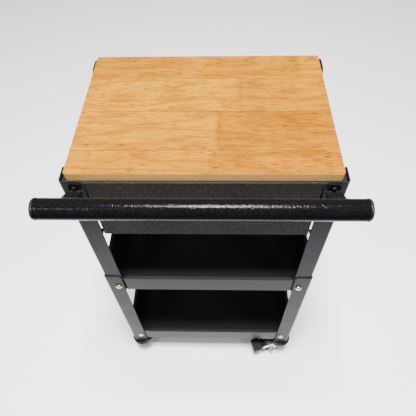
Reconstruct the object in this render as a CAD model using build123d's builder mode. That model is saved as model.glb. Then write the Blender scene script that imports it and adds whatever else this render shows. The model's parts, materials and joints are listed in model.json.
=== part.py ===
from build123d import *
from math import atan2, cos, degrees, radians, sin
import os

# A rolling worktable: a butcher block top on a folded steel frame with two shelves,
# a push handle across the front and four swivel casters.
# Millimetres. X runs along the handle, -Y is the handle side, +Z is up, the floor is Z = 0.
# The origin is the middle of the whole footprint, handle included.

# ---------------------------------------------------------------- driving dimensions
FRAME_W = 460.0            # outside of the upper legs, along X
FRAME_D = 325.0            # outside of the upper legs, along Y
FRAME_Y = 45.0             # middle of the four legs, behind the origin
LEG_TOP = 840.0
LEG_BOTTOM = 80.0
LEG_JOINT = 512.0          # top of the lower legs
UPPER_LEG_BOTTOM = 439.0
LEG_T = 2.0
UPPER_FLANGE = 36.5
LOWER_FLANGE = 37.5

TOP_W = 442.0
TOP_D = 312.0
TOP_T = 18.0
DECK_Z = 834.0             # steel deck that the wood rests on
SKIRT_H = 150.0            # depth of the steel top box
SKIRT_RETURN = 12.0

SHEET_T = 1.5
SHELF_LIP_H = 56.0         # front and rear lips of a shelf
SHELF_SIDE_H = 92.0        # side walls of a shelf
SHELF_RETURN = 8.0
MIDDLE_SHELF_Z = 438.0
BOTTOM_SHELF_Z = 101.0

BOLT_INSET = 23.0          # bolt line, in from the outside of the upper legs
TOP_BOLT_Z = (793.0, 750.0)
MIDDLE_BOLT_Z = 465.0
BOTTOM_BOLT_Z = 133.0
BOLT_R = 3.0

TUBE_R = 15.5
TUBE_WALL = 1.5
TUBE_LENGTH = 448.0
TUBE_FORWARD = 86.0        # tube axis in front of the upper legs
TUBE_Z = 885.0
CAP_T = 5.0
BRACKET_X = 207.0
BRACKET_BOLT_Z = 826.8
BRACKET_BOLT_R = 2.0
SADDLE_SCREW_R = 2.5
STRAP_T = 3.0
STRAP_W = 25.0

CASTER_X = 212.5
CASTER_Y = 145.0
WHEEL_R = 30.0
WHEEL_W = 24.0
TRAIL = 28.0               # wheel axle behind the swivel axis
TRAIL_ANGLE = {"front_left": 95.0, "front_right": 196.0, "rear_left": 285.0, "rear_right": 248.0}
BRAKED = ("front_left", "front_right")

FIT = 0.05                 # radial running clearance
CLEAR = 0.3                # clearance of a bolt in its hole

CORNERS = {"front_left": (-1, -1), "front_right": (1, -1), "rear_left": (-1, 1), "rear_right": (1, 1)}
FRONT_FACE = FRAME_Y - FRAME_D / 2
TUBE_Y = FRONT_FACE - TUBE_FORWARD
BOLT_X = FRAME_W / 2 - BOLT_INSET
BOLT_Y = FRAME_D / 2 - BOLT_INSET
GUARD = 5.0                # how far a cutting tool runs past what it cuts

os.makedirs("parts", exist_ok=True)


def write(part, label):
    part.label = label
    export_step(part, f"parts/{label}.step")


# ---------------------------------------------------------------- butcher block top
TOP_CORNER_R = 5.0
TOP_EDGE_R = 1.5
SCREW_R = 2.0
SCREW_BITE = 12.0
SCREW_SPOTS = [(x, FRAME_Y + y) for x in (-170, 0, 170) for y in (-110, 110)]

with BuildPart() as butcher_block_top:
    with BuildSketch(Plane.XY.offset(DECK_Z)):
        with Locations((0, FRAME_Y)):
            RectangleRounded(TOP_W, TOP_D, TOP_CORNER_R)
    extrude(amount=TOP_T)
    block_ends = butcher_block_top.faces().filter_by(Axis.Z).edges()
    fillet(block_ends, TOP_EDGE_R)
    with BuildSketch(Plane.XY.offset(DECK_Z)):
        with Locations(*SCREW_SPOTS):
            Circle(SCREW_R)
    extrude(amount=SCREW_BITE, mode=Mode.SUBTRACT)
write(butcher_block_top.part, "butcher_block_top")


# ---------------------------------------------------------------- folded steel pans
def wall_holes(width, depth, heights):
    """Bolt holes through the four corners of a pan, two at each corner and height."""
    spots_x = [(x, z) for x in (-BOLT_X, BOLT_X) for z in heights]
    spots_y = [(FRAME_Y + y, z) for y in (-BOLT_Y, BOLT_Y) for z in heights]
    with BuildSketch(Plane.XZ.offset(-FRAME_Y)) as along_y:
        with Locations(*spots_x):
            Circle(BOLT_R + CLEAR)
    extrude(along_y.sketch, amount=depth / 2 + GUARD, both=True, mode=Mode.SUBTRACT)
    with BuildSketch(Plane.YZ) as along_x:
        with Locations(*spots_y):
            Circle(BOLT_R + CLEAR)
    extrude(along_x.sketch, amount=width / 2 + GUARD, both=True, mode=Mode.SUBTRACT)


PAN_CORNER_R = 5.0
FOLD_R = 2.5
PAN_W = FRAME_W - 2 * LEG_T
PAN_D = FRAME_D - 2 * LEG_T
PANEL_GAP = 3.2
GAP_TOP = 8.0              # the gap stops this far below the deck
GAP_X = FRAME_W / 2 - UPPER_FLANGE - PANEL_GAP / 2
GAP_Z = DECK_Z - GAP_TOP - SKIRT_H / 2

with BuildPart() as top_pan:
    with BuildSketch(Plane.XY.offset(DECK_Z)):
        with Locations((0, FRAME_Y)):
            RectangleRounded(PAN_W, PAN_D, PAN_CORNER_R)
    extrude(amount=-SKIRT_H)
    fillet(top_pan.faces().sort_by(Axis.Z)[-1].edges(), FOLD_R)
    with BuildSketch(Plane.XY.offset(DECK_Z - SHEET_T)):
        with Locations((0, FRAME_Y)):
            RectangleRounded(PAN_W - 2 * SHEET_T, PAN_D - 2 * SHEET_T, PAN_CORNER_R - SHEET_T)
    extrude(amount=-SKIRT_H, mode=Mode.SUBTRACT)
    with BuildSketch(Plane.XY.offset(DECK_Z - SKIRT_H)):
        with Locations((0, FRAME_Y)):
            RectangleRounded(PAN_W, PAN_D, PAN_CORNER_R)
            Rectangle(PAN_W - 2 * SKIRT_RETURN, PAN_D - 2 * SKIRT_RETURN, mode=Mode.SUBTRACT)
    extrude(amount=SHEET_T)
    fillet(top_pan.faces().sort_by(Axis.Z)[0].outer_wire().edges(), SHEET_T * 0.8)
    with BuildSketch(Plane.XY.offset(DECK_Z)):
        with Locations(*SCREW_SPOTS):
            Circle(SCREW_R + CLEAR)
    extrude(amount=-2 * SHEET_T, mode=Mode.SUBTRACT)
    with BuildSketch(Plane.XZ.offset(-FRAME_Y)):
        with Locations((-BRACKET_X, BRACKET_BOLT_Z), (BRACKET_X, BRACKET_BOLT_Z)):
            Circle(BRACKET_BOLT_R + CLEAR)
    extrude(amount=PAN_D / 2 + GUARD, mode=Mode.SUBTRACT)
    wall_holes(PAN_W, PAN_D, TOP_BOLT_Z)
    # dark gaps beside the legs, where the front and rear panels end
    with BuildSketch(Plane.XZ.offset(-FRAME_Y)):
        with Locations((-GAP_X, GAP_Z), (GAP_X, GAP_Z)):
            Rectangle(PANEL_GAP, SKIRT_H)
    extrude(amount=PAN_D / 2 + GUARD, both=True, mode=Mode.SUBTRACT)
write(top_pan.part, "top_pan")

LIP_STEP = 1.5             # the lips stand this far in front of the corner returns
LIP_W = 381.0              # between the legs
LIP_SLANT = 3.0            # each lip end leans in by this much at the top
HANG_HOLE = (-76.0, FRAME_Y - 39.0)
HANG_HOLE_R = 2.0


def shelf(width, depth, z, bolt_z):
    """A pan with low lips at the front and rear and higher walls at the sides."""
    lip_top = z + SHELF_LIP_H
    wall_top = z + SHELF_SIDE_H
    with BuildPart() as pan:
        with BuildSketch(Plane.XY.offset(z)):
            with Locations((0, FRAME_Y)):
                RectangleRounded(width, depth - 2 * LIP_STEP, PAN_CORNER_R)
        extrude(amount=SHELF_SIDE_H)
        fillet(pan.faces().sort_by(Axis.Z)[0].edges(), FOLD_R)
        inside_w = width - 2 * SHEET_T
        inside_d = depth - 2 * LIP_STEP - 2 * SHEET_T
        with BuildSketch(Plane.XY.offset(z + SHEET_T)):
            with Locations((0, FRAME_Y)):
                RectangleRounded(inside_w, inside_d, PAN_CORNER_R - SHEET_T)
        extrude(amount=SHELF_SIDE_H, mode=Mode.SUBTRACT)
        # the front and rear walls stop at lip height between the legs
        with BuildSketch(Plane.XZ.offset(-FRAME_Y)):
            with Locations((0, (lip_top + wall_top) / 2 + GUARD)):
                RectangleRounded(LIP_W + 5, SHELF_SIDE_H - SHELF_LIP_H + 2 * GUARD, 4)
        extrude(amount=depth / 2 + GUARD, both=True, mode=Mode.SUBTRACT)
        for end in (-1, 1):
            lip_plane = Plane.XZ.offset(-FRAME_Y - end * (depth / 2))
            with BuildSketch(lip_plane):
                with BuildLine():
                    Polyline(
                        (-LIP_W / 2, z + FOLD_R),
                        (LIP_W / 2, z + FOLD_R),
                        (LIP_W / 2 - LIP_SLANT, lip_top),
                        (-LIP_W / 2 + LIP_SLANT, lip_top),
                        close=True,
                    )
                make_face()
            extrude(amount=end * (LIP_STEP + SHEET_T))
            # return flange on top of the lip
            with BuildSketch(Plane.XY.offset(lip_top)):
                with Locations((0, FRAME_Y + end * (depth - SHELF_RETURN) / 2)):
                    Rectangle(LIP_W - 2 * LIP_SLANT, SHELF_RETURN)
            extrude(amount=-SHEET_T)
            # return flange on top of the side wall
            with BuildSketch(Plane.XY.offset(wall_top)):
                with Locations((end * (width - SHELF_RETURN) / 2, FRAME_Y)):
                    Rectangle(SHELF_RETURN, depth - 4 * PAN_CORNER_R)
            extrude(amount=-SHEET_T)
        wall_holes(width, depth, (bolt_z,))
    return pan.part


with BuildPart() as middle_shelf:
    add(shelf(PAN_W, PAN_D, MIDDLE_SHELF_Z, MIDDLE_BOLT_Z))
    with BuildSketch(Plane.XY.offset(MIDDLE_SHELF_Z)):
        with Locations(HANG_HOLE):
            Circle(HANG_HOLE_R)
    extrude(amount=2 * SHEET_T, mode=Mode.SUBTRACT)
write(middle_shelf.part, "middle_shelf")
write(shelf(FRAME_W, FRAME_D, BOTTOM_SHELF_Z, BOTTOM_BOLT_Z), "bottom_shelf")

# ---------------------------------------------------------------- angle legs
BEND_R = 2.5
TIP_R = 8.0
FOOT_TIP_R = 3.0


def angle_leg(corner, outset, flange, bottom, top, bolt_heights):
    """An L-section leg whose outer faces stand `outset` outside the upper frame."""
    sx, sy = CORNERS[corner]
    cx = sx * (FRAME_W / 2 + outset)
    cy = FRAME_Y + sy * (FRAME_D / 2 + outset)
    with BuildPart() as leg:
        with BuildSketch(Plane.XY.offset(bottom)) as section:
            with BuildLine():
                Polyline(
                    (cx, cy),
                    (cx - sx * flange, cy),
                    (cx - sx * flange, cy - sy * LEG_T),
                    (cx - sx * LEG_T, cy - sy * LEG_T),
                    (cx - sx * LEG_T, cy - sy * flange),
                    (cx, cy - sy * flange),
                    close=True,
                )
            make_face()
            fillet(section.vertices().sort_by_distance((cx, cy, 0))[0], BEND_R + LEG_T)
            inner = section.vertices().sort_by_distance((cx - sx * LEG_T, cy - sy * LEG_T, 0))[0]
            fillet(inner, BEND_R)
        extrude(amount=top - bottom)
        for level, radius in ((-1, TIP_R), (0, FOOT_TIP_R)):
            rim = leg.edges().group_by(Axis.Z)[level].filter_by(GeomType.LINE)
            tips = [edge for edge in rim if abs(edge.length - LEG_T) < FIT]
            fillet(tips, radius)
        with BuildSketch(Plane.XZ.offset(-cy)):
            with Locations(*[(sx * BOLT_X, z) for z in bolt_heights]):
                Circle(BOLT_R + CLEAR)
        extrude(amount=2 * LEG_T, both=True, mode=Mode.SUBTRACT)
        with BuildSketch(Plane.YZ.offset(cx)):
            with Locations(*[(FRAME_Y + sy * BOLT_Y, z) for z in bolt_heights]):
                Circle(BOLT_R + CLEAR)
        extrude(amount=2 * LEG_T, both=True, mode=Mode.SUBTRACT)
        if sy < 0 and top == LEG_TOP:
            with BuildSketch(Plane.XZ.offset(-cy)):
                with Locations((sx * BRACKET_X, BRACKET_BOLT_Z)):
                    Circle(BRACKET_BOLT_R + CLEAR)
            extrude(amount=2 * LEG_T, both=True, mode=Mode.SUBTRACT)
    return leg.part


for corner in CORNERS:
    upper_holes = (*TOP_BOLT_Z, MIDDLE_BOLT_Z)
    upper = angle_leg(corner, 0, UPPER_FLANGE, UPPER_LEG_BOTTOM, LEG_TOP, upper_holes)
    write(upper, f"upper_leg_{corner}")
    lower_holes = (MIDDLE_BOLT_Z, BOTTOM_BOLT_Z)
    lower = angle_leg(corner, LEG_T, LOWER_FLANGE, LEG_BOTTOM, LEG_JOINT, lower_holes)
    write(lower, f"lower_leg_{corner}")

# ---------------------------------------------------------------- foot plates inside the lower legs
FOOT_PLATE = 35.0
FOOT_PLATE_R = 3.0
FOOT_T = 3.0
STEM_R = 5.0
FOOT_SPOTS = [(sx * CASTER_X, FRAME_Y + sy * CASTER_Y) for sx, sy in CORNERS.values()]

with BuildPart() as foot_plates:
    with BuildSketch(Plane.XY.offset(LEG_BOTTOM)):
        with Locations(*FOOT_SPOTS):
            RectangleRounded(FOOT_PLATE, FOOT_PLATE, FOOT_PLATE_R)
            Circle(STEM_R + FIT, mode=Mode.SUBTRACT)
    extrude(amount=FOOT_T)
write(foot_plates.part, "foot_plates")

# ---------------------------------------------------------------- push handle
with BuildPart() as handle_tube:
    with BuildSketch(Plane.YZ.offset(-TUBE_LENGTH / 2)):
        with Locations((TUBE_Y, TUBE_Z)):
            Circle(TUBE_R)
            Circle(TUBE_R - TUBE_WALL, mode=Mode.SUBTRACT)
    extrude(amount=TUBE_LENGTH)
    with BuildSketch(Plane.XY.offset(TUBE_Z)):
        with Locations((-BRACKET_X, TUBE_Y), (BRACKET_X, TUBE_Y)):
            Circle(SADDLE_SCREW_R + FIT)
    extrude(amount=-TUBE_R - GUARD, mode=Mode.SUBTRACT)
write(handle_tube.part, "handle_tube")

CAP_R = TUBE_R + 0.4
PLUG_DEPTH = 14.0
PLUG_WALL = 2.0

for side, name in ((-1, "left"), (1, "right")):
    with BuildPart() as cap:
        mouth = Plane(
            origin=(side * TUBE_LENGTH / 2, TUBE_Y, TUBE_Z), x_dir=(0, 1, 0), z_dir=(side, 0, 0)
        )
        with BuildSketch(mouth):
            Circle(CAP_R)
        extrude(amount=CAP_T)
        end_face = cap.faces().sort_by_distance((side * TUBE_LENGTH, TUBE_Y, TUBE_Z))[0]
        fillet(end_face.edges(), CAP_T * 0.7)
        with BuildSketch(mouth):
            Circle(TUBE_R - TUBE_WALL)
            Circle(TUBE_R - TUBE_WALL - PLUG_WALL, mode=Mode.SUBTRACT)
        extrude(amount=-PLUG_DEPTH)
    write(cap.part, f"handle_cap_{name}")

# strap brackets: a tab flat on the leg, an arm that rises forward, and a saddle under the tube
TAB_W = 20.0
TAB_TOP = 837.5
TAB_BOTTOM = 817.0
ARM_SLOPE = 33.0
SADDLE_END = 252.0
tab_y = FRONT_FACE - STRAP_T / 2
saddle_r = TUBE_R + FIT + STRAP_T / 2
# where the arm's centre line meets the saddle's circle
arm_dy = -cos(radians(ARM_SLOPE))
arm_dz = sin(radians(ARM_SLOPE))
to_tube = (TUBE_Y - tab_y, TUBE_Z - TAB_BOTTOM)
along = to_tube[0] * arm_dy + to_tube[1] * arm_dz
aside = abs(to_tube[0] * arm_dz - to_tube[1] * arm_dy)
arm_length = along - (saddle_r**2 - aside**2) ** 0.5
arm_end = (tab_y + arm_length * arm_dy, TAB_BOTTOM + arm_length * arm_dz)
saddle_start = degrees(atan2(arm_end[1] - TUBE_Z, arm_end[0] - TUBE_Y)) % 360


def on_saddle(angle):
    return (TUBE_Y + saddle_r * cos(radians(angle)), TUBE_Z + saddle_r * sin(radians(angle)))


for side, name in ((-1, "left"), (1, "right")):
    with BuildPart() as bracket:
        with BuildSketch(Plane.YZ.offset(side * BRACKET_X)):
            with BuildLine() as strap:
                Line((tab_y, TAB_TOP), (tab_y, TAB_BOTTOM))
                Line((tab_y, TAB_BOTTOM), arm_end)
                ThreePointArc(
                    arm_end, on_saddle((saddle_start + SADDLE_END) / 2), on_saddle(SADDLE_END)
                )
                fillet(strap.vertices().sort_by_distance((tab_y, TAB_BOTTOM, 0))[0], STRAP_T)
                fillet(strap.vertices().sort_by_distance((*arm_end, 0))[0], STRAP_T)
            trace(line_width=STRAP_T)
        extrude(amount=STRAP_W / 2, both=True)
        # the tab is narrower than the arm, with rounded shoulders
        with BuildSketch(Plane.XZ.offset(-FRONT_FACE)):
            with Locations((side * BRACKET_X, TAB_TOP)):
                Rectangle(STRAP_W + GUARD, 2 * (TAB_TOP - TAB_BOTTOM - STRAP_T))
                Rectangle(TAB_W, 2 * (TAB_TOP - TAB_BOTTOM) + GUARD, mode=Mode.SUBTRACT)
        extrude(amount=STRAP_T, mode=Mode.SUBTRACT)
        with BuildSketch(Plane.XZ.offset(-FRONT_FACE)):
            with Locations((side * BRACKET_X, BRACKET_BOLT_Z)):
                Circle(BRACKET_BOLT_R + CLEAR)
        extrude(amount=2 * STRAP_T, mode=Mode.SUBTRACT)
        with BuildSketch(Plane.XY.offset(TUBE_Z)):
            with Locations((side * BRACKET_X, TUBE_Y)):
                Circle(SADDLE_SCREW_R + CLEAR)
        extrude(amount=-TUBE_R - 2 * STRAP_T, mode=Mode.SUBTRACT)
    write(bracket.part, f"handle_bracket_{name}")

# ---------------------------------------------------------------- fasteners
RECESS_L = 0.95
RECESS_W = 1.3


def pan_screw(radius, length, head_r, head_h):
    """A cross-recessed pan head screw: the head's underside is Z = 0, the shank runs down."""
    with BuildPart() as screw:
        with BuildSketch():
            Circle(head_r)
        extrude(amount=head_h)
        fillet(screw.faces().sort_by(Axis.Z)[-1].edges(), head_h * 0.75)
        with BuildSketch(Plane.XY.offset(head_h)):
            Rectangle(head_r * RECESS_L, RECESS_W)
            Rectangle(RECESS_W, head_r * RECESS_L)
        extrude(amount=-head_h * 0.55, mode=Mode.SUBTRACT)
        with BuildSketch():
            Circle(radius)
        extrude(amount=-length)
        chamfer(screw.faces().sort_by(Axis.Z)[0].edges(), radius * 0.25)
    return screw.part


def flange_nut(radius, across_flats, height, flange_r, flange_t):
    """A hexagon nut with a round flange: the seat is Z = 0."""
    with BuildPart() as nut:
        with BuildSketch():
            Circle(flange_r)
        extrude(amount=flange_t)
        with BuildSketch(Plane.XY.offset(flange_t)):
            RegularPolygon(across_flats / 2, 6, major_radius=False)
        extrude(amount=height - flange_t)
        chamfer(nut.faces().sort_by(Axis.Z)[-1].edges(), 0.5)
        with BuildSketch():
            Circle(radius + FIT)
        extrude(amount=height + GUARD, mode=Mode.SUBTRACT)
    return nut.part


def scatter(template, spots, label):
    """Identical fasteners at their places, as one group of separate solids."""
    with BuildPart() as group:
        with Locations(*spots):
            add(template)
    write(group.part, label)


def seat(x, y, z, direction):
    """The plane of a screw head or nut whose axis points along `direction`."""
    return Plane(origin=(x, y, z), z_dir=direction).location


# radius, length, head radius, head height
FRAME_BOLT = (BOLT_R, 15.0, 7.0, 4.6)
TAB_BOLT = (BRACKET_BOLT_R, 11.0, 3.8, 2.4)
SADDLE_SCREW = (SADDLE_SCREW_R, 12.0, 4.6, 3.0)
DECK_SCREW = (SCREW_R - FIT, SCREW_BITE + SHEET_T - 0.5, 4.2, 2.8)
# radius, across flats, height, flange radius, flange thickness
FRAME_NUT = (BOLT_R, 10.0, 6.0, 6.5, 1.2)
TAB_NUT = (BRACKET_BOLT_R, 7.0, 3.2, 3.5, 0.4)
STEM_NUT = (STEM_R, 16.0, 8.0, 10.0, 1.5)

bolt_spots = []
nut_spots = []
for sx, sy in CORNERS.values():
    for z in (*TOP_BOLT_Z, MIDDLE_BOLT_Z, BOTTOM_BOLT_Z):
        outset = 0 if z > LEG_JOINT else LEG_T
        pan_w, pan_d = (FRAME_W, FRAME_D) if z == BOTTOM_BOLT_Z else (PAN_W, PAN_D)
        step = 0 if z > LEG_JOINT else LIP_STEP
        face_x = sx * (FRAME_W / 2 + outset)
        face_y = FRAME_Y + sy * (FRAME_D / 2 + outset)
        inside_x = sx * (pan_w / 2 - SHEET_T)
        inside_y = FRAME_Y + sy * (pan_d / 2 - SHEET_T - step)
        bolt_spots.append(seat(sx * BOLT_X, face_y, z, (0, sy, 0)))
        bolt_spots.append(seat(face_x, FRAME_Y + sy * BOLT_Y, z, (sx, 0, 0)))
        nut_spots.append(seat(sx * BOLT_X, inside_y, z, (0, -sy, 0)))
        nut_spots.append(seat(inside_x, FRAME_Y + sy * BOLT_Y, z, (-sx, 0, 0)))
scatter(pan_screw(*FRAME_BOLT), bolt_spots, "frame_bolts")
scatter(flange_nut(*FRAME_NUT), nut_spots, "frame_nuts")

strap_face = FRONT_FACE - STRAP_T
skirt_inside = FRONT_FACE + LEG_T + SHEET_T
saddle_face = TUBE_Z - TUBE_R - 2 * FIT - STRAP_T
both_sides = (-BRACKET_X, BRACKET_X)
tab_spots = [seat(x, strap_face, BRACKET_BOLT_Z, (0, -1, 0)) for x in both_sides]
tab_nut_spots = [seat(x, skirt_inside, BRACKET_BOLT_Z, (0, 1, 0)) for x in both_sides]
saddle_spots = [seat(x, TUBE_Y, saddle_face, (0, 0, -1)) for x in both_sides]
deck_spots = [seat(x, y, DECK_Z - SHEET_T, (0, 0, -1)) for x, y in SCREW_SPOTS]
stem_spots = [seat(x, y, LEG_BOTTOM + FOOT_T, (0, 0, 1)) for x, y in FOOT_SPOTS]
scatter(pan_screw(*TAB_BOLT), tab_spots, "bracket_bolts")
scatter(flange_nut(*TAB_NUT), tab_nut_spots, "bracket_nuts")
scatter(pan_screw(*SADDLE_SCREW), saddle_spots, "saddle_screws")
scatter(pan_screw(*DECK_SCREW), deck_spots, "deck_screws")
scatter(flange_nut(*STEM_NUT), stem_spots, "stem_nuts")

# ---------------------------------------------------------------- casters
# Each caster piece is drawn with the swivel axis on Z and the wheel trailing towards +X,
# then placed at its corner and turned to its own trail angle.
HEAD_R = 30.0
HEAD_WALL = 2.0
HEAD_SKIRT_Z = 65.5
HEAD_SHOULDER_R = 4.0
STEM_LENGTH = 17.0
KINGPIN_R = 5.0
RIVET_R = 8.0
RIVET_H = 3.3
CROWN_Z = 64.0
CROWN_R = 27.3
CROWN_LENGTH = 34.0        # straight part of the crown that the cheeks hang from
FORK_T = 2.5
CHEEK_GAP = 27.0           # between the fork's cheeks
AXLE_R = 4.0
AXLE_BOSS_R = 9.0
EAR = (54.0, 56.0)         # brake pedal pivot: along the trail, and up
EAR_R = 6.0
PIVOT_R = 2.5
BALL_R = 2.1
BALL_COUNT = 14
RACE_R = 19.0
BALL_Z = CROWN_Z + FORK_T + BALL_R + FIT
RACE_TOP = BALL_Z + BALL_R + FIT
RIVET_TOP = CROWN_Z - 2 * FIT

with BuildPart() as caster_head:
    with BuildSketch(Plane.XZ):
        with BuildLine():
            Polyline(
                (0, RIVET_TOP - RIVET_H),
                (RIVET_R, RIVET_TOP - RIVET_H),
                (RIVET_R, RIVET_TOP),
                (KINGPIN_R, RIVET_TOP),
                (KINGPIN_R, RACE_TOP),
                (HEAD_R - HEAD_WALL, RACE_TOP),
                (HEAD_R - HEAD_WALL, HEAD_SKIRT_Z),
                (HEAD_R, HEAD_SKIRT_Z),
                (HEAD_R, LEG_BOTTOM),
                (0, LEG_BOTTOM),
                close=True,
            )
        make_face()
    revolve(axis=Axis.Z)
    fillet(caster_head.faces().sort_by(Axis.Z)[-1].edges(), HEAD_SHOULDER_R)
    with BuildSketch(Plane.XY.offset(LEG_BOTTOM)):
        Circle(STEM_R)
    extrude(amount=STEM_LENGTH)
    chamfer(caster_head.faces().sort_by(Axis.Z)[-1].edges(), 1)

with BuildPart() as swivel_balls:
    with PolarLocations(RACE_R, BALL_COUNT):
        with Locations((0, 0, BALL_Z)):
            Sphere(BALL_R)


def fork(braked):
    """Pressed steel fork: a round crown with two cheeks, and ears for the pedal if braked."""
    ear_root_z = CROWN_Z - EAR_R + 1
    with BuildPart() as body:
        with BuildSketch(Plane.XY.offset(CROWN_Z)):
            Circle(CROWN_R)
        extrude(amount=FORK_T)
        fillet(body.faces().sort_by(Axis.Z)[-1].edges(), FORK_T * 0.4)
        for side in (-1, 1):
            cheek = Plane.XZ.offset(side * CHEEK_GAP / 2)
            with BuildSketch(cheek):
                with Locations((TRAIL, WHEEL_R)):
                    Circle(AXLE_BOSS_R)
                with Locations((0, CROWN_Z)):
                    Rectangle(CROWN_LENGTH, FORK_T)
                make_hull()
            extrude(amount=side * FORK_T)
            if braked:
                with BuildSketch(cheek):
                    with Locations(EAR):
                        Circle(EAR_R)
                    with Locations((CROWN_LENGTH / 2, ear_root_z)):
                        Circle(EAR_R)
                    make_hull()
                extrude(amount=side * FORK_T)
        with BuildSketch(Plane.XY.offset(CROWN_Z)):
            Circle(KINGPIN_R + FIT)
        extrude(amount=2 * FORK_T, both=True, mode=Mode.SUBTRACT)
        with BuildSketch(Plane.XZ):
            with Locations((TRAIL, WHEEL_R)):
                Circle(AXLE_R + FIT)
            if braked:
                with Locations(EAR):
                    Circle(PIVOT_R + FIT)
        extrude(amount=CHEEK_GAP, both=True, mode=Mode.SUBTRACT)
    return body.part


# axle: a hexagon bolt from one side and a lock nut on the other
AXLE_HEAD_AF = 13.0
AXLE_HEAD_H = 5.0
AXLE_TAIL = 9.0            # how far the axle stands out past the far cheek
fork_half = CHEEK_GAP / 2 + FORK_T

with BuildPart() as axle_bolt:
    with BuildSketch(Plane.XZ.offset(fork_half)):
        with Locations((TRAIL, WHEEL_R)):
            RegularPolygon(AXLE_HEAD_AF / 2, 6, major_radius=False)
    extrude(amount=AXLE_HEAD_H)
    chamfer(axle_bolt.faces().sort_by(Axis.Y)[0].edges(), 0.6)
    with BuildSketch(Plane.XZ.offset(fork_half)):
        with Locations((TRAIL, WHEEL_R)):
            Circle(AXLE_R)
    extrude(amount=-2 * fork_half - AXLE_TAIL)

with BuildPart() as axle_nut:
    add(
        flange_nut(AXLE_R, AXLE_HEAD_AF, AXLE_TAIL - 1.5, 7.5, 1.0).moved(
            Plane(origin=(TRAIL, fork_half, WHEEL_R), z_dir=(0, 1, 0)).location
        )
    )

# wheel: a moulded hub with a groove in each face, and a soft tread
HUB_R = 22.0
HUB_BOSS_R = 8.0
HUB_BOSS_HALF = 13.2
HUB_DISH = 4.0
TREAD_R = 3.0
wheel_plane = Plane.XZ.offset(-WHEEL_W / 2)

with BuildPart() as wheel_hub:
    with BuildSketch(wheel_plane):
        with Locations((TRAIL, WHEEL_R)):
            Circle(HUB_R)
    extrude(amount=WHEEL_W)
    for side in (-1, 1):
        with BuildSketch(Plane.XZ.offset(side * WHEEL_W / 2)):
            with Locations((TRAIL, WHEEL_R)):
                Circle(HUB_R - 3)
                Circle(HUB_BOSS_R, mode=Mode.SUBTRACT)
        extrude(amount=-side * HUB_DISH, mode=Mode.SUBTRACT)
    with BuildSketch(Plane.XZ):
        with Locations((TRAIL, WHEEL_R)):
            Circle(HUB_BOSS_R)
    extrude(amount=HUB_BOSS_HALF, both=True)
    with BuildSketch(Plane.XZ):
        with Locations((TRAIL, WHEEL_R)):
            Circle(AXLE_R + FIT)
    extrude(amount=WHEEL_W, both=True, mode=Mode.SUBTRACT)

with BuildPart() as tyre:
    with BuildSketch(wheel_plane):
        with Locations((TRAIL, WHEEL_R)):
            Circle(WHEEL_R)
    extrude(amount=WHEEL_W)
    fillet(tyre.edges().filter_by(GeomType.CIRCLE), TREAD_R)
    with BuildSketch(wheel_plane):
        with Locations((TRAIL, WHEEL_R)):
            Circle(HUB_R)
    extrude(amount=WHEEL_W, mode=Mode.SUBTRACT)

# brake pedal: a barrel on the pivot pin, a cam that presses on the tread, and a foot plate
PEDAL_HALF = 12.8
BARREL_R = 4.5
CAM_R = 2.0
CAM_REACH = 4.95
CAM_ANGLE = 260.0
PEDAL_START = 62.5
PEDAL_END = 88.0
PEDAL_W = 38.0
PEDAL_T = 7.0
PEDAL_ARM_T = 3.6
PEDAL_Z = EAR[1]
cam_spot = (
    EAR[0] + CAM_REACH * cos(radians(CAM_ANGLE)),
    EAR[1] + CAM_REACH * sin(radians(CAM_ANGLE)),
)

with BuildPart() as brake_pedal:
    with BuildSketch(Plane.XZ):
        with Locations(EAR):
            Circle(BARREL_R)
        with Locations(cam_spot):
            Circle(CAM_R)
        make_hull()
        with Locations(((EAR[0] + PEDAL_START) / 2 + 1, PEDAL_Z)):
            Rectangle(PEDAL_START - EAR[0] + 2, PEDAL_ARM_T)
    extrude(amount=PEDAL_HALF, both=True)
    with BuildSketch(Plane.XY.offset(PEDAL_Z - PEDAL_T / 2)):
        with Locations(((PEDAL_START + PEDAL_END) / 2, 0)):
            RectangleRounded(PEDAL_END - PEDAL_START, PEDAL_W, 4)
    extrude(amount=PEDAL_T)
    fillet(brake_pedal.faces().filter_by(Axis.Z).sort_by(Axis.Z)[-1].edges(), 1.5)
    with BuildSketch(Plane.XZ):
        with Locations(EAR):
            Circle(PIVOT_R + FIT)
    extrude(amount=PEDAL_W, both=True, mode=Mode.SUBTRACT)

with BuildPart() as pedal_pin:
    with BuildSketch(Plane.XZ):
        with Locations(EAR):
            Circle(PIVOT_R)
    extrude(amount=fork_half + 1, both=True)


def place(template, corner, label):
    """A caster piece set at its corner and turned to that caster's trail angle."""
    sx, sy = CORNERS[corner]
    spot = Location((sx * CASTER_X, FRAME_Y + sy * CASTER_Y, 0), (0, 0, TRAIL_ANGLE[corner]))
    with BuildPart() as placed:
        with Locations(spot):
            add(template)
    write(placed.part, f"{label}_{corner}")


for corner in CORNERS:
    place(caster_head.part, corner, "caster_head")
    place(swivel_balls.part, corner, "swivel_balls")
    place(fork(corner in BRAKED), corner, "fork")
    place(axle_bolt.part, corner, "axle_bolt")
    place(axle_nut.part, corner, "axle_nut")
    place(wheel_hub.part, corner, "wheel_hub")
    place(tyre.part, corner, "tyre")
    if corner in BRAKED:
        place(brake_pedal.part, corner, "brake_pedal")
        place(pedal_pin.part, corner, "pedal_pin")
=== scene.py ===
# %% [markdown]
# # A butcher block table in Blender
#
# The table is a rolling cart: a glued wooden board on a folded steel frame, two steel shelves,
# a round push handle and four swivel casters. Its steel and wood shapes come from a CAD frame
# that is already to size. This lesson gives those shapes their finishes, adds the small moulded
# and ribbed pieces that repeat, and sets up the camera and a soft studio.

# %% Load the frame
import math

import bpy
from mathutils import Matrix, Vector

import json

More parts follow.
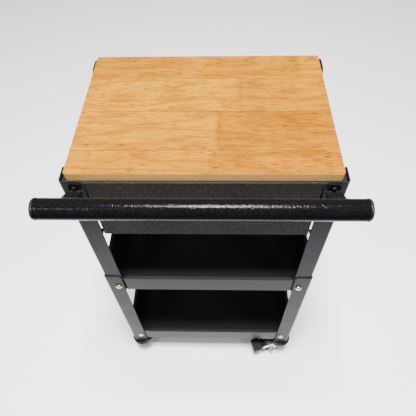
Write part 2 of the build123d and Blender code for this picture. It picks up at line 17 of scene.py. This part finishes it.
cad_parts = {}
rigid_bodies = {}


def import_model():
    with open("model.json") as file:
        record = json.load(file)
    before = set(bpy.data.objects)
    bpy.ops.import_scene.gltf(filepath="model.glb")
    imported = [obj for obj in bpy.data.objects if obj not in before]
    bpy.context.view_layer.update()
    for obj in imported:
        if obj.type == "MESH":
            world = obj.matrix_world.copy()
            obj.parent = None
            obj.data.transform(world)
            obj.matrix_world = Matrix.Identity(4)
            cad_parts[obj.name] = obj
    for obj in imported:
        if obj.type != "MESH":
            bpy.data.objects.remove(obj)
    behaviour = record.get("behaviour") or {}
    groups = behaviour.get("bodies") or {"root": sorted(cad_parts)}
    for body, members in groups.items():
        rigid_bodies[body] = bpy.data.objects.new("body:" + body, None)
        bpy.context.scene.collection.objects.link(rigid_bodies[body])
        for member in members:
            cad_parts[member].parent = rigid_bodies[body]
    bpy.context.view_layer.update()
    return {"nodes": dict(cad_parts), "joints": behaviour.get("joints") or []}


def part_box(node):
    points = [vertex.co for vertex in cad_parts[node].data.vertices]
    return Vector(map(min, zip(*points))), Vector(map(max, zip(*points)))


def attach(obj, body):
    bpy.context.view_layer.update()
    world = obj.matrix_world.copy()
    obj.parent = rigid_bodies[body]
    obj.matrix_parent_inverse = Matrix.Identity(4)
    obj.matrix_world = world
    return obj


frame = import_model()
nodes = frame["nodes"]

# %% [markdown]
# ## Three small helpers
#
# Colours are easiest to choose as the hex values of a colour picker, which are sRGB. Shaders
# work in linear light, so one function converts them. A second helper adds a node, sets it and
# links it in one call, and a third starts a material with its shader already wired up.

# %% Helpers for colour and nodes
MM = 0.001


def linear(hex_colour):
    """An sRGB hex colour such as "D8A050" as linear red, green, blue and alpha."""
    channels = [int(hex_colour[i : i + 2], 16) / 255 for i in (0, 2, 4)]
    curve = [c / 12.92 if c <= 0.04045 else ((c + 0.055) / 1.055) ** 2.4 for c in channels]
    return (*curve, 1.0)


def put(tree, kind, inputs=None, **settings):
    """Adds a node. Inputs are keyed by name or number; a socket is linked, a value is set."""
    node = tree.nodes.new(kind)
    for name, value in settings.items():
        setattr(node, name, value)
    for key, value in (inputs or {}).items():
        if isinstance(value, bpy.types.NodeSocket):
            tree.links.new(value, node.inputs[key])
        else:
            node.inputs[key].default_value = value
    return node


def start_material(name, **shader_values):
    """A new material: its node tree and its shader, with constants on the shader's own sockets."""
    made = bpy.data.materials.new(name)
    made.use_nodes = True
    tree = made.node_tree
    tree.nodes.clear()
    values = {key.replace("_", " "): value for key, value in shader_values.items()}
    shader = put(tree, "ShaderNodeBsdfPrincipled", values)
    put(tree, "ShaderNodeOutputMaterial", {"Surface": shader.outputs[0]})
    return made, tree, shader


print("linear mid grey", round(linear("808080")[0], 3))

# %% [markdown]
# ## The camera
#
# The table is seen from above the push handle, looking down steeply at the board. The camera is
# placed from the board's middle, so it follows the board if the table's sizes change. A camera
# looks along its own -Z with +Y up, so its axes are built from three angles: how far it looks
# down, how far it turns to the side, and a small roll.

# %% Camera
CAMERA_FROM_BOARD = Vector((0.0276, -0.5693, 0.4846))
LOOK_DOWN = 53.80
TURN = -2.94
ROLL = 2.17
LENS_MM = 35.08
SENSOR_MM = 36.0

board_low, board_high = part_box("butcher_block_top")
board_middle = (board_low + board_high) / 2
down_angle = math.radians(LOOK_DOWN)
turn_angle = math.radians(TURN)
roll_angle = math.radians(ROLL)
level_right = Vector((math.cos(turn_angle), -math.sin(turn_angle), 0))
forward = Vector(
    (
        math.sin(turn_angle) * math.cos(down_angle),
        math.cos(turn_angle) * math.cos(down_angle),
        -math.sin(down_angle),
    )
)
level_down = forward.cross(level_right)
right = level_right * math.cos(roll_angle) + level_down * math.sin(roll_angle)
down = level_down * math.cos(roll_angle) - level_right * math.sin(roll_angle)

camera_data = bpy.data.cameras.new("camera")
camera_data.lens = LENS_MM
camera_data.sensor_width = SENSOR_MM
camera_data.clip_start = 0.01
camera = bpy.data.objects.new("camera", camera_data)
axes = Matrix((right, -down, -forward)).transposed().to_4x4()
camera.matrix_world = Matrix.Translation(board_middle + CAMERA_FROM_BOARD) @ axes
bpy.context.scene.collection.objects.link(camera)
bpy.context.scene.camera = camera
print("camera looks along", [round(v, 3) for v in forward])

# %% [markdown]
# ## Soft studio light
#
# Black painted steel shows almost nothing but what it reflects. The pale floor gives the legs
# their grey sheen, and a dim, even surround keeps the shelves dark. One strong softbox hangs
# overhead, out of the legs' reflections, and two small lamps draw highlights on the handle.

# %% Surround and lights
WORLD_WHITE = "F2F4F7"
WORLD_STRENGTH = 0.45
LIGHTS = {
    # name: place, target, size in metres, power in watts
    "overhead_softbox": ((0.0, -0.35, 2.9), (0.0, 0.0, 0.5), 0.6, 340.0),
    "left_lamp": ((-0.75, -0.95, 1.95), (0.0, -0.1, 0.8), 0.2, 7.0),
    "right_lamp": ((0.90, -0.80, 1.70), (0.0, -0.1, 0.8), 0.2, 5.0),
}

world = bpy.data.worlds.new("studio")
world.use_nodes = True
world.node_tree.nodes.clear()
surround = put(
    world.node_tree,
    "ShaderNodeBackground",
    {"Color": linear(WORLD_WHITE), "Strength": WORLD_STRENGTH},
)
put(world.node_tree, "ShaderNodeOutputWorld", {"Surface": surround.outputs[0]})
bpy.context.scene.world = world

for name, (place, target, size, power) in LIGHTS.items():
    softbox = bpy.data.lights.new(name, "AREA")
    softbox.shape = "SQUARE"
    softbox.size = size
    softbox.energy = power
    lamp = bpy.data.objects.new(name, softbox)
    aim = Vector(target) - Vector(place)
    turned = aim.to_track_quat("-Z", "Y").to_matrix().to_4x4()
    lamp.matrix_world = Matrix.Translation(place) @ turned
    bpy.context.scene.collection.objects.link(lamp)
print("lights", list(LIGHTS))

# %% [markdown]
# ## Oiled rubberwood
#
# The board is rubberwood: short staves glued side by side, and each stave finger-jointed end to
# end, so the zigzag of the joint shows on top. One could paint this as an image, but a pattern
# worked out from the point's place in millimetres stays sharp and wraps over the edges.
#
# The steps are: find which stave a point is in and which block of that stave, give each block
# its own tone and its own piece of grain, then draw growth rings, fibres and pores along X. The
# board's edges take a paler, drier colour than its oiled top.

# %% Where the blocks are
STAVE_SEAMS = (-105.9, -10.2, 82.6)  # across the board, from its middle, in millimetres
BLOCK_JOINTS = ((0, 14.3), (0, 198.3), (1, 23.2), (2, 60.9), (3, 176.4))  # stave, along X
FINGER_PITCH = 6.0
FINGER_LENGTH = 11.0
FINGER_LINE = 1.3  # half the width of a finger joint's line
BLOCKS_PER_STAVE = 3

rubberwood, tree, shader = start_material(
    "oiled_rubberwood", Roughness=0.42, IOR=1.5, Specular_IOR_Level=0.04
)
place = put(tree, "ShaderNodeTexCoord").outputs["Object"]
in_mm = put(
    tree,
    "ShaderNodeMapping",
    {
        "Vector": place,
        "Location": (-board_middle.x / MM, -board_middle.y / MM, -board_middle.z / MM),
        "Scale": (1 / MM, 1 / MM, 1 / MM),
    },
).outputs[0]
split = put(tree, "ShaderNodeSeparateXYZ", {0: in_mm})
along, across = split.outputs[0], split.outputs[1]


def calc(operation, *values):
    """One arithmetic step in the tree that is being built."""
    inputs = dict(enumerate(values))
    return put(tree, "ShaderNodeMath", inputs, operation=operation).outputs[0]


def add_up(parts):
    total = parts[0]
    for part in parts[1:]:
        total = calc("ADD", total, part)
    return total


stave = add_up([calc("GREATER_THAN", across, seam) for seam in STAVE_SEAMS])
finger = calc("PINGPONG", across, FINGER_PITCH / 2)
zigzag = calc("MULTIPLY", finger, 2 * FINGER_LENGTH / FINGER_PITCH)
jagged_along = calc("SUBTRACT", along, zigzag)
passed = []
near_joint = []
for which, joint in BLOCK_JOINTS:
    edge = joint - FINGER_LENGTH / 2
    same_stave = calc("COMPARE", stave, float(which), 0.5)
    beyond = calc("GREATER_THAN", jagged_along, edge)
    passed.append(calc("MULTIPLY", same_stave, beyond))
    gap = calc("ABSOLUTE", calc("SUBTRACT", jagged_along, edge))
    near_joint.append(calc("MULTIPLY", same_stave, calc("LESS_THAN", gap, FINGER_LINE)))
block = calc("MULTIPLY_ADD", stave, float(BLOCKS_PER_STAVE), add_up(passed))
chance = put(tree, "ShaderNodeTexWhiteNoise", {"W": block}, noise_dimensions="1D")
print("blocks in the board", len(STAVE_SEAMS) + 1 + len(BLOCK_JOINTS))

# %% [markdown]
# Each block now reads its own stretch of grain, because a random colour is added to the place.
# Growth rings are contour lines of a slow noise that is stretched along X: the same trick that
# draws height lines on a map gives the long pointed arches of flat-sawn wood.

# %% Grain and colour of the board
BLOCK_SHIFT = (900.0, 70.0, 70.0)
RING_STRETCH = (0.0042, 0.026, 0.026)
FIBRE_STRETCH = (0.016, 0.42, 0.42)
PORE_STRETCH = (0.055, 0.85, 0.85)
CLOUD_STRETCH = (0.008, 0.02, 0.02)
RINGS_PER_NOISE = 11.0

shift = put(
    tree,
    "ShaderNodeVectorMath",
    {0: chance.outputs["Color"], 1: BLOCK_SHIFT},
    operation="MULTIPLY",
).outputs[0]
own_grain = put(tree, "ShaderNodeVectorMath", {0: in_mm, 1: shift}, operation="ADD").outputs[0]


def stretched_noise(stretch, detail):
    """Noise drawn out along the board, in cycles per millimetre."""
    scaled = put(
        tree, "ShaderNodeVectorMath", {0: own_grain, 1: stretch}, operation="MULTIPLY"
    ).outputs[0]
    values = {"Vector": scaled, "Scale": 1.0, "Detail": detail}
    return put(tree, "ShaderNodeTexNoise", values).outputs[0]


def remap(value, low, high, to_low=0.0, to_high=1.0):
    inputs = {0: value, 1: low, 2: high, 3: to_low, 4: to_high}
    return put(tree, "ShaderNodeMapRange", inputs).outputs[0]


def tint(amount, under, over):
    """Lays one colour over another."""
    inputs = {0: amount, 6: under, 7: over}
    return put(tree, "ShaderNodeMix", inputs, data_type="RGBA").outputs[2]


height = calc("MULTIPLY", stretched_noise(RING_STRETCH, 1.5), RINGS_PER_NOISE)
contour = calc("PINGPONG", height, 1.0)
rings = calc("POWER", contour, 1.8)
fibres = remap(stretched_noise(FIBRE_STRETCH, 4.0), 0.3, 0.7)
pores = remap(stretched_noise(PORE_STRETCH, 2.0), 0.56, 0.66)
clouds = remap(stretched_noise(CLOUD_STRETCH, 1.0), 0.3, 0.7)

WOOD_LIGHT = "8E5A00"
WOOD_DEEP = "7C4A00"
WOOD_RING = "5C3200"
WOOD_PORE = "3E1E00"
WOOD_GLUE = "361A00"
WOOD_EDGE = "B08A54"
WOOD_PALE = "A46E0A"
SEAM_LINE = 0.45  # half the width of a seam, in millimetres
KNOT_DARK = "5C3414"
KNOTS = ((-55.1, 110.5, 2.6), (-212.2, 76.8, 2.2))  # along X, across, radius in millimetres

colour = tint(clouds, linear(WOOD_DEEP), linear(WOOD_LIGHT))
colour = tint(remap(chance.outputs[0], 0.0, 1.0, 0.0, 0.75), colour, linear(WOOD_PALE))
colour = tint(calc("MULTIPLY", rings, 0.50), colour, linear(WOOD_RING))
colour = tint(calc("MULTIPLY", fibres, 0.42), colour, linear(WOOD_RING))
colour = tint(calc("MULTIPLY", pores, 0.85), colour, linear(WOOD_PORE))
seam_lines = [
    calc("LESS_THAN", calc("ABSOLUTE", calc("SUBTRACT", across, seam)), SEAM_LINE)
    for seam in STAVE_SEAMS
]
colour = tint(calc("MULTIPLY", add_up(seam_lines), 0.5), colour, linear(WOOD_GLUE))
colour = tint(calc("MULTIPLY", add_up(near_joint), 0.7), colour, linear(WOOD_GLUE))
for knot_x, knot_y, knot_r in KNOTS:
    from_knot = put(
        tree,
        "ShaderNodeVectorMath",
        {
            0: put(
                tree, "ShaderNodeVectorMath", {0: in_mm, 1: (1.0, 1.0, 0.0)}, operation="MULTIPLY"
            ).outputs[0],
            1: (knot_x, knot_y, 0.0),
        },
        operation="DISTANCE",
    ).outputs["Value"]
    colour = tint(remap(from_knot, knot_r, knot_r * 0.4, 0.0, 0.85), colour, linear(KNOT_DARK))
facing_up = put(
    tree, "ShaderNodeSeparateXYZ", {0: put(tree, "ShaderNodeNewGeometry").outputs["Normal"]}
).outputs[2]
on_edge = remap(calc("ABSOLUTE", facing_up), 0.7, 0.3, 0.0, 0.75)
colour = tint(on_edge, colour, linear(WOOD_EDGE))
tree.links.new(colour, shader.inputs["Base Color"])
tree.links.new(remap(fibres, 0.0, 1.0, 0.36, 0.50), shader.inputs["Roughness"])
relief = put(
    tree,
    "ShaderNodeBump",
    {"Strength": 0.25, "Distance": 0.15 * MM, "Height": calc("SUBTRACT", fibres, pores)},
)
tree.links.new(relief.outputs[0], shader.inputs["Normal"])
print("rubberwood nodes", len(tree.nodes))

# %% [markdown]
# ## Powder coat and paint
#
# The steel is powder coated: plastic dust is melted on to the sheet, and it sets with the fine
# dimples of orange peel. That is a dark plastic over metal, so it is not metallic, and its IOR
# is about 1.5. The same recipe with other numbers gives the satin legs, the top box with its
# hammered speckle, the glossier shelves and the wrinkled paint of the handle. The specular level
# is turned well below a real coat's, because under this light a real one would look grey.


# %% Coated steel
def coated_steel(
    name, dark, light, roughness, speck_mm, dimple_mm, dimple_depth, smudge=0.08, **more
):
    """Black coat on steel: specks of a lighter tone, dimples, and patches that are less glossy."""
    global tree
    made, tree, shader = start_material(name, IOR=1.5, **more)
    place = put(tree, "ShaderNodeTexCoord").outputs["Object"]

    def grains(size_mm, detail):
        values = {"Vector": place, "Scale": 1 / (size_mm * MM), "Detail": detail}
        return put(tree, "ShaderNodeTexNoise", values).outputs[0]

    specks = remap(grains(speck_mm, 2.0), 0.48, 0.68)
    patches = remap(grains(70.0, 2.0), 0.35, 0.65)
    tree.links.new(tint(specks, linear(dark), linear(light)), shader.inputs["Base Color"])
    rough = calc("MULTIPLY_ADD", patches, smudge, roughness - smudge / 2)
    tree.links.new(rough, shader.inputs["Roughness"])
    dimples = {"Strength": 0.6, "Distance": dimple_depth * MM, "Height": grains(dimple_mm, 1.0)}
    tree.links.new(put(tree, "ShaderNodeBump", dimples).outputs[0], shader.inputs["Normal"])
    return made


satin_coat = coated_steel(
    "powder_coat_satin",
    "16171A",
    "24262A",
    0.34,
    1.6,
    1.4,
    0.05,
    Specular_IOR_Level=0.065,
    Specular_Tint=linear("DCE8FF"),
)
speckled_coat = coated_steel(
    "powder_coat_speckled", "121110", "2B2825", 0.50, 2.2, 1.8, 0.10, Specular_IOR_Level=0.05
)
gloss_coat = coated_steel(
    "powder_coat_gloss", "1E1E20", "252528", 0.22, 1.8, 2.0, 0.03, 0.10, Specular_IOR_Level=0.05
)
wrinkle_paint = coated_steel(
    "wrinkle_paint", "060607", "0D0D0F", 0.15, 2.4, 2.4, 0.60, 0.04, Specular_IOR_Level=0.045
)
cup_paint = coated_steel(
    "black_enamel", "0B0B0C", "161617", 0.28, 1.6, 1.6, 0.04, Specular_IOR_Level=0.12
)
print("coats made", [m.name for m in bpy.data.materials if "coat" in m.name])

# %% [markdown]
# ## Zinc plate and ball steel
#
# The bolts are yellow zinc: a thin chromate film over zinc that drifts from straw to pink. The
# fork and the axle are plain bright zinc, a cool grey metal with faint crystals. Both are
# metals, so they keep Blender's usual IOR, and only their colour and roughness vary.


# %% Metals
def plated(name, main, drift, roughness, drift_mm, crystal_mm):
    """Zinc plate: a slow drift of colour, and crystals that vary in roughness."""
    global tree
    made, tree, shader = start_material(name, Metallic=1.0)
    place = put(tree, "ShaderNodeTexCoord").outputs["Object"]
    slow = {"Vector": place, "Scale": 1 / (drift_mm * MM), "Detail": 2.0}
    wander = remap(put(tree, "ShaderNodeTexNoise", slow).outputs[0], 0.35, 0.65)
    tree.links.new(tint(wander, linear(main), linear(drift)), shader.inputs["Base Color"])
    cells = {"Vector": place, "Scale": 1 / (crystal_mm * MM)}
    crystal = put(tree, "ShaderNodeTexVoronoi", cells).outputs["Color"]
    tone = put(tree, "ShaderNodeSeparateColor", {0: crystal}).outputs[0]
    rough = remap(tone, 0.0, 1.0, roughness - 0.06, roughness + 0.08)
    tree.links.new(rough, shader.inputs["Roughness"])
    return made


yellow_zinc = plated("yellow_zinc", "E8D9A0", "D9B98C", 0.26, 4.0, 1.2)
bright_zinc = plated("bright_zinc", "C4C5C3", "B3B6B8", 0.30, 12.0, 2.5)
ball_steel = plated("ball_steel", "C9C9CB", "BEBEC0", 0.14, 5.0, 1.0)
print("metals made", yellow_zinc.name, bright_zinc.name, ball_steel.name)

# %% [markdown]
# ## Moulded plastic and rubber
#
# The handle's end caps, the brake pedals and the wheel hubs are injection-moulded plastic with
# the fine spark texture of the mould. The tread is solid rubber: rougher, a little lighter
# where it has been rolled, with dust in patches.


# %% Plastics and rubber
def moulded(name, main, worn, roughness, grain_mm, grain_depth, **more):
    global tree
    made, tree, shader = start_material(name, **more)
    place = put(tree, "ShaderNodeTexCoord").outputs["Object"]
    broad = {"Vector": place, "Scale": 1 / (9.0 * MM), "Detail": 3.0}
    wear = remap(put(tree, "ShaderNodeTexNoise", broad).outputs[0], 0.45, 0.75)
    tree.links.new(tint(wear, linear(main), linear(worn)), shader.inputs["Base Color"])
    rough = remap(wear, 0.0, 1.0, roughness - 0.05, roughness + 0.10)
    tree.links.new(rough, shader.inputs["Roughness"])
    fine = {"Vector": place, "Scale": 1 / (grain_mm * MM), "Detail": 1.0}
    height = put(tree, "ShaderNodeTexNoise", fine).outputs[0]
    bump = {"Strength": 0.5, "Distance": grain_depth * MM, "Height": height}
    tree.links.new(put(tree, "ShaderNodeBump", bump).outputs[0], shader.inputs["Normal"])
    return made


cap_plastic = moulded("moulded_polythene", "0C0C0D", "151516", 0.32, 1.2, 0.04, IOR=1.5)
hub_plastic = moulded(
    "moulded_nylon", "0D0D0E", "171718", 0.34, 1.4, 0.04, IOR=1.53, Specular_IOR_Level=0.15
)
pedal_plastic = moulded(
    "moulded_abs", "0E0E10", "18181A", 0.38, 1.2, 0.06, IOR=1.54, Specular_IOR_Level=0.10
)
rubber = moulded("solid_rubber", "121213", "212122", 0.62, 1.0, 0.05, IOR=1.52)
print("materials so far", len(bpy.data.materials))

# %% [markdown]
# ## Giving each part its finish
#
# Every CAD node has its own object with one or more material slots. The shape stays, and only
# what the slots hold is changed. Names that start alike share a finish.

# %% Assign materials
FINISHES = {
    "butcher_block_top": rubberwood,
    "top_pan": speckled_coat,
    "middle_shelf": gloss_coat,
    "bottom_shelf": gloss_coat,
    "upper_leg": satin_coat,
    "lower_leg": satin_coat,
    "foot_plates": satin_coat,
    "handle_tube": wrinkle_paint,
    "handle_cap": cap_plastic,
    "handle_bracket": cup_paint,
    "frame_bolts": yellow_zinc,
    "frame_nuts": yellow_zinc,
    "bracket_bolts": cup_paint,
    "bracket_nuts": yellow_zinc,
    "saddle_screws": yellow_zinc,
    "deck_screws": yellow_zinc,
    "stem_nuts": bright_zinc,
    "caster_head": cup_paint,
    "swivel_balls": ball_steel,
    "fork": bright_zinc,
    "axle_bolt": bright_zinc,
    "axle_nut": bright_zinc,
    "pedal_pin": bright_zinc,
    "wheel_hub": hub_plastic,
    "tyre": rubber,
    "brake_pedal": pedal_plastic,
}

for name, part in nodes.items():
    finish = next(FINISHES[start] for start in FINISHES if name.startswith(start))
    if not part.data.materials:
        part.data.materials.append(finish)
    for index in range(len(part.data.materials)):
        part.data.materials[index] = finish
print("finished", len(nodes), "nodes")

# %% [markdown]
# ## Ribs on the pedals and hubs
#
# A foot grips the brake pedal by a row of raised ribs, and the moulded hub is stiffened by
# spokes in the dish of each face. Both repeat, so Geometry Nodes make them: one rib is
# instanced along a line or round a circle. The tree has named inputs for its sizes, and ends by
# making the instances real and giving them their material.


# %% A tree for ribs in a row or a ring
def rib_tree(name, ring):
    """Geometry Nodes: bars in a row along X, or spokes in a ring about Y."""
    made = bpy.data.node_groups.new(name, "GeometryNodeTree")
    face = made.interface
    sockets = {}
    for label, kind in (
        ("Count", "NodeSocketInt"),
        ("Reach", "NodeSocketFloat"),
        ("Bar Size", "NodeSocketVector"),
        ("Centre", "NodeSocketVector"),
        ("Turn", "NodeSocketVector"),
        ("Move", "NodeSocketVector"),
        ("Material", "NodeSocketMaterial"),
    ):
        sockets[label] = face.new_socket(label, in_out="INPUT", socket_type=kind).identifier
    face.new_socket("Mesh", in_out="OUTPUT", socket_type="NodeSocketGeometry")
    given = put(made, "NodeGroupInput").outputs
    bar = put(
        made,
        "GeometryNodeMeshCube",
        {"Size": given["Bar Size"], "Vertices X": 2, "Vertices Y": 2, "Vertices Z": 2},
    )
    if ring:
        circle = {"Vertices": given["Count"], "Radius": given["Reach"]}
        spots = put(made, "GeometryNodeMeshCircle", circle).outputs[0]
        upright = put(
            made, "GeometryNodeTransform", {"Geometry": spots, "Rotation": (math.pi / 2, 0, 0)}
        ).outputs[0]
        at = put(made, "GeometryNodeInputPosition").outputs[0]
        turned = put(
            made, "FunctionNodeAlignRotationToVector", {"Vector": at}, axis="X", pivot_axis="Y"
        ).outputs[0]
        copies = put(
            made,
            "GeometryNodeInstanceOnPoints",
            {"Points": upright, "Instance": bar.outputs[0], "Rotation": turned},
        ).outputs[0]
    else:
        step = put(made, "ShaderNodeCombineXYZ", {0: given["Reach"]}).outputs[0]
        row = {"Count": given["Count"], "Offset": step}
        spots = put(made, "GeometryNodeMeshLine", row).outputs[0]
        copies = put(
            made, "GeometryNodeInstanceOnPoints", {"Points": spots, "Instance": bar.outputs[0]}
        ).outputs[0]
    in_place = put(
        made, "GeometryNodeTransform", {"Geometry": copies, "Translation": given["Centre"]}
    ).outputs[0]
    on_caster = put(
        made,
        "GeometryNodeTransform",
        {"Geometry": in_place, "Translation": given["Move"], "Rotation": given["Turn"]},
    ).outputs[0]
    solid = put(made, "GeometryNodeRealizeInstances", {0: on_caster}).outputs[0]
    painted = put(
        made, "GeometryNodeSetMaterial", {"Geometry": solid, "Material": given["Material"]}
    ).outputs[0]
    put(made, "NodeGroupOutput", {0: painted})
    return made, sockets


pedal_rows = rib_tree("pedal_ribs", ring=False)
hub_rings = rib_tree("hub_spokes", ring=True)
print("rib trees", pedal_rows[0].name, hub_rings[0].name)

# %% [markdown]
# The tree's result is turned into a plain mesh before it joins a body: a modifier is put on an
# empty mesh, evaluated once and read back. A small bevel then breaks the bars' sharp edges, as
# a mould does.


# %% From a tree to a finished piece
def grow(name, tree_and_sockets, values, edge_mm):
    """Runs a Geometry Nodes tree once and returns its result as a plain object."""
    group, sockets = tree_and_sockets
    seed = bpy.data.objects.new(name, bpy.data.meshes.new(name))
    bpy.context.scene.collection.objects.link(seed)
    modifier = seed.modifiers.new("ribs", "NODES")
    modifier.node_group = group
    for label, value in values.items():
        modifier[sockets[label]] = value
    soften = seed.modifiers.new("soften", "BEVEL")
    soften.width = edge_mm * MM
    soften.segments = 2
    soften.limit_method = "ANGLE"
    ready = seed.evaluated_get(bpy.context.evaluated_depsgraph_get())
    mesh = bpy.data.meshes.new_from_object(ready)
    seed.modifiers.clear()
    seed.data = mesh
    return seed


PEDAL_RIBS = 5
PEDAL_RIB_PITCH = 4.4 * MM
PEDAL_RIB = (1.8 * MM, 30 * MM, 1.8 * MM)
PEDAL_RIB_START = (66.5 * MM, 0.0, 59.4 * MM)
PEDAL_RIB_EDGE = 0.6
HUB_SPOKES = 8
HUB_SPOKE_REACH = 13.6 * MM
HUB_SPOKE = (11.4 * MM, 3.4 * MM, 1.6 * MM)
HUB_SPOKE_DEPTH = 9.6 * MM
HUB_SPOKE_EDGE = 0.4
AXLE_ALONG = 28 * MM
AXLE_UP = 30 * MM

swivels = {j["child"]: j for j in frame["joints"] if j["name"].startswith("swivel_")}
for joint in frame["joints"]:
    if joint["name"].startswith("swivel_"):
        continue
    pin = joint["axis"]
    post = swivels[joint["parent"]]["pos_m"]
    facing = {
        "Turn": (0.0, 0.0, math.atan2(-pin[0], pin[1])),
        "Move": (post[0], post[1], 0.0),
    }
    corner = joint["child"].split("_", 1)[1]
    if joint["name"].startswith("brake_"):
        sizes = {
            "Count": PEDAL_RIBS,
            "Reach": PEDAL_RIB_PITCH,
            "Bar Size": PEDAL_RIB,
            "Centre": PEDAL_RIB_START,
            "Material": pedal_plastic,
        }
        ribs = grow(f"pedal_ribs_{corner}", pedal_rows, {**sizes, **facing}, PEDAL_RIB_EDGE)
        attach(ribs, joint["child"])
        continue
    for side, mark in ((-1, "a"), (1, "b")):
        sizes = {
            "Count": HUB_SPOKES,
            "Reach": HUB_SPOKE_REACH,
            "Bar Size": HUB_SPOKE,
            "Centre": (AXLE_ALONG, side * HUB_SPOKE_DEPTH, AXLE_UP),
            "Material": hub_plastic,
        }
        name = f"hub_spokes_{corner}_{mark}"
        spokes = grow(name, hub_rings, {**sizes, **facing}, HUB_SPOKE_EDGE)
        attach(spokes, joint["child"])
ribbed = [o for o in bpy.data.objects if "ribs" in o.name or "spokes" in o.name]
print("ribbed pieces", len(ribbed))

# %% [markdown]
# ## The floor
#
# A matt, almost white floor is stage, not part of the table. It catches a soft shadow under the
# casters and is what the black legs mirror. In front of the table, where the camera doesn't see
# it, painted shade turns the floor's colour grey in place of real light fall-off: the tops of the
# legs mirror that part, so they look darker than their feet.

# %% Floor
FLOOR_HALF = 6.0
# Painted shade: the floor's colour turns grey towards the front, standing in for light falling
# off.
FLOOR_SHADE_START = -0.45  # metres along Y, where the floor starts to fall off
FLOOR_SHADE_FULL = -1.05
FLOOR_PAINTED_SHADE_GREY = "5C5C5C"

floor_paper, tree, shader = start_material("studio_floor", Roughness=0.85)
place = put(tree, "ShaderNodeTexCoord").outputs["Object"]
mottle = put(tree, "ShaderNodeTexNoise", {"Vector": place, "Scale": 3.0, "Detail": 2.0}).outputs[0]
lit = tint(mottle, linear("F4F4F4"), linear("F7F7F7"))
toward_front = put(tree, "ShaderNodeSeparateXYZ", {0: place}).outputs[1]
# Painted shade, not real light: the floor's colour goes from white to grey between the two Y
# places above.
floor_painted_shade = tint(remap(toward_front, FLOOR_SHADE_START, FLOOR_SHADE_FULL), lit, linear(FLOOR_PAINTED_SHADE_GREY))
tree.links.new(floor_painted_shade, shader.inputs["Base Color"])
floor_mesh = bpy.data.meshes.new("floor")
corners = [(x * FLOOR_HALF, y * FLOOR_HALF, 0.0) for x, y in ((-1, -1), (1, -1), (1, 1), (-1, 1))]
floor_mesh.from_pydata(corners, [], [(0, 1, 2, 3)])
floor_mesh.materials.append(floor_paper)
floor = bpy.data.objects.new("floor", floor_mesh)
bpy.context.scene.collection.objects.link(floor)
print("floor spans", 2 * FLOOR_HALF, "metres")
